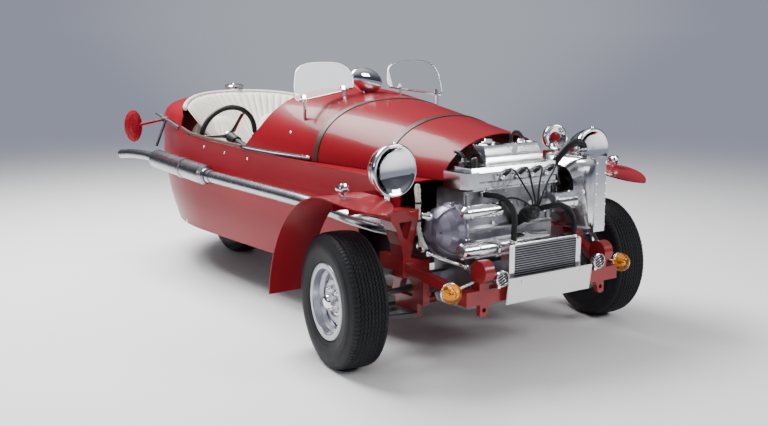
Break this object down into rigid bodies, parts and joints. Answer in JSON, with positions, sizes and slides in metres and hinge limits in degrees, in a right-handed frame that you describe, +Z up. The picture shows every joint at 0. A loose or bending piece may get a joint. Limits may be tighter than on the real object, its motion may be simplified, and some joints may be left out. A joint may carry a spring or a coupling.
{
  "type": "three wheeled car",
  "caption": "Open two-seat car with two steered front wheels, one rear wheel in a pointed tail, and an open transverse engine at the nose.",
  "frame": {"origin": "on the ground, under the middle of the car's bounding box", "axes": "-Y to the front, +X to the car's left side, +Z up"},
  "size_m": [1.5516, 3.013, 1.093],
  "materials": {
    "red_paint": "gloss",
    "brown_leather": "satin",
    "black_paint": "satin",
    "black_rubber": "matte",
    "cream_leather": "satin",
    "rim_silver": "satin",
    "tyre_rubber": "matte",
    "cast_iron": "matte",
    "bright_steel": "polished",
    "white_plate": "gloss",
    "polished_alloy": "polished",
    "satin_alloy": "satin",
    "pale_cable": "matte",
    "black_plastic": "matte",
    "chrome": "polished",
    "clear_glass": "clear",
    "amber_plastic": "gloss"
  },
  "bodies": {
    "car": {"aero_screens": "clear_glass", "back_panel": "cream_leather", "bonnet": "red_paint", "bonnet_straps": "brown_leather", "cable_bundle": "pale_cable", "clutch_housing": "satin_alloy", "cockpit_trim": "brown_leather", "cylinder_head": "polished_alloy", "dash_panel": "black_paint", "distributor": "black_plastic", "drive_shafts": "black_rubber", "dynamo": "polished_alloy", "engine_block": "polished_alloy", "exhaust_pipe": "bright_steel", "fan_and_pulley": "black_paint", "filler_cap": "chrome", "firewall": "black_paint", "floor_pan": "black_paint", "front_arms": "black_paint", "front_subframe": "red_paint", "front_wings": "red_paint", "gearbox_case": "satin_alloy", "headlamp_bowls": "chrome", "headlamp_lenses": "clear_glass", "horns": "chrome", "hoses": "black_rubber", "ignition_coil": "polished_alloy", "indicators": "amber_plastic", "mirror_bar": "bright_steel", "number_plate": "white_plate", "oil_cooler": "polished_alloy", "radiator": "polished_alloy", "rear_arm": "black_paint", "rocker_cover": "polished_alloy", "screen_fittings": "chrome", "scuttle": "red_paint", "seat_bulkhead": "black_paint", "seat_cushions": "cream_leather", "seat_squabs": "cream_leather", "side_mirror": "red_paint", "side_panel_left": "red_paint", "side_panel_right": "red_paint", "silencer": "bright_steel", "starter_motor": "polished_alloy", "steering_column": "black_paint", "suspension_rubbers": "black_rubber", "tail_shell": "red_paint", "wing_lamps": "chrome"},
    "knuckle_left": {"knuckle_left": "cast_iron"},
    "knuckle_right": {"knuckle_right": "cast_iron"},
    "wheel_front_left": {"rim_front_left": "rim_silver", "tyre_front_left": "tyre_rubber"},
    "wheel_front_right": {"rim_front_right": "rim_silver", "tyre_front_right": "tyre_rubber"},
    "wheel_rear": {"rim_rear": "rim_silver", "tyre_rear": "tyre_rubber"},
    "steering_wheel": {"steering_wheel": "black_paint"},
    "steering_rack": {"steering_rack": "bright_steel"}
  },
  "joints": [
    {"name": "steer_left", "type": "hinge", "parent": "car", "child": "knuckle_left", "pos_m": [0.618, -1.0943, 0.256], "axis": [0, 0, 1], "range_deg": [-21, 39]},
    {"name": "steer_right", "type": "hinge", "parent": "car", "child": "knuckle_right", "pos_m": [-0.618, -1.0943, 0.256], "axis": [0, 0, 1], "range_deg": [-21, 39]},
    {"name": "spin_front_left", "type": "hinge", "parent": "knuckle_left", "child": "wheel_front_left", "pos_m": [0.66245, -1.10134, 0.256], "axis": [0.9877, -0.1564, 0], "continuous": true},
    {"name": "spin_front_right", "type": "hinge", "parent": "knuckle_right", "child": "wheel_front_right", "pos_m": [-0.66245, -1.08726, 0.256], "axis": [0.9877, -0.1564, 0], "continuous": true},
    {"name": "spin_rear", "type": "hinge", "parent": "car", "child": "wheel_rear", "pos_m": [0, 0.9557, 0.256], "axis": [1, 0, 0], "continuous": true},
    {"name": "turn_steering_wheel", "type": "hinge", "parent": "car", "child": "steering_wheel", "pos_m": [-0.275, 0.5457, 0.7], "axis": [0, 0.9703, 0.2419], "range_deg": [-252.1, 468.1]},
    {"name": "slide_rack", "type": "slide", "parent": "car", "child": "steering_rack", "axis": [1, 0, 0], "range_m": [-0.0716, 0.0386]}
  ],
  "couplings": [
    {"joint": "steer_right", "follows": "steer_left", "ratio": 1},
    {"joint": "turn_steering_wheel", "follows": "steer_left", "ratio": 12},
    {"joint": "slide_rack", "follows": "steer_left", "m_per_rad": -0.105}
  ]
}
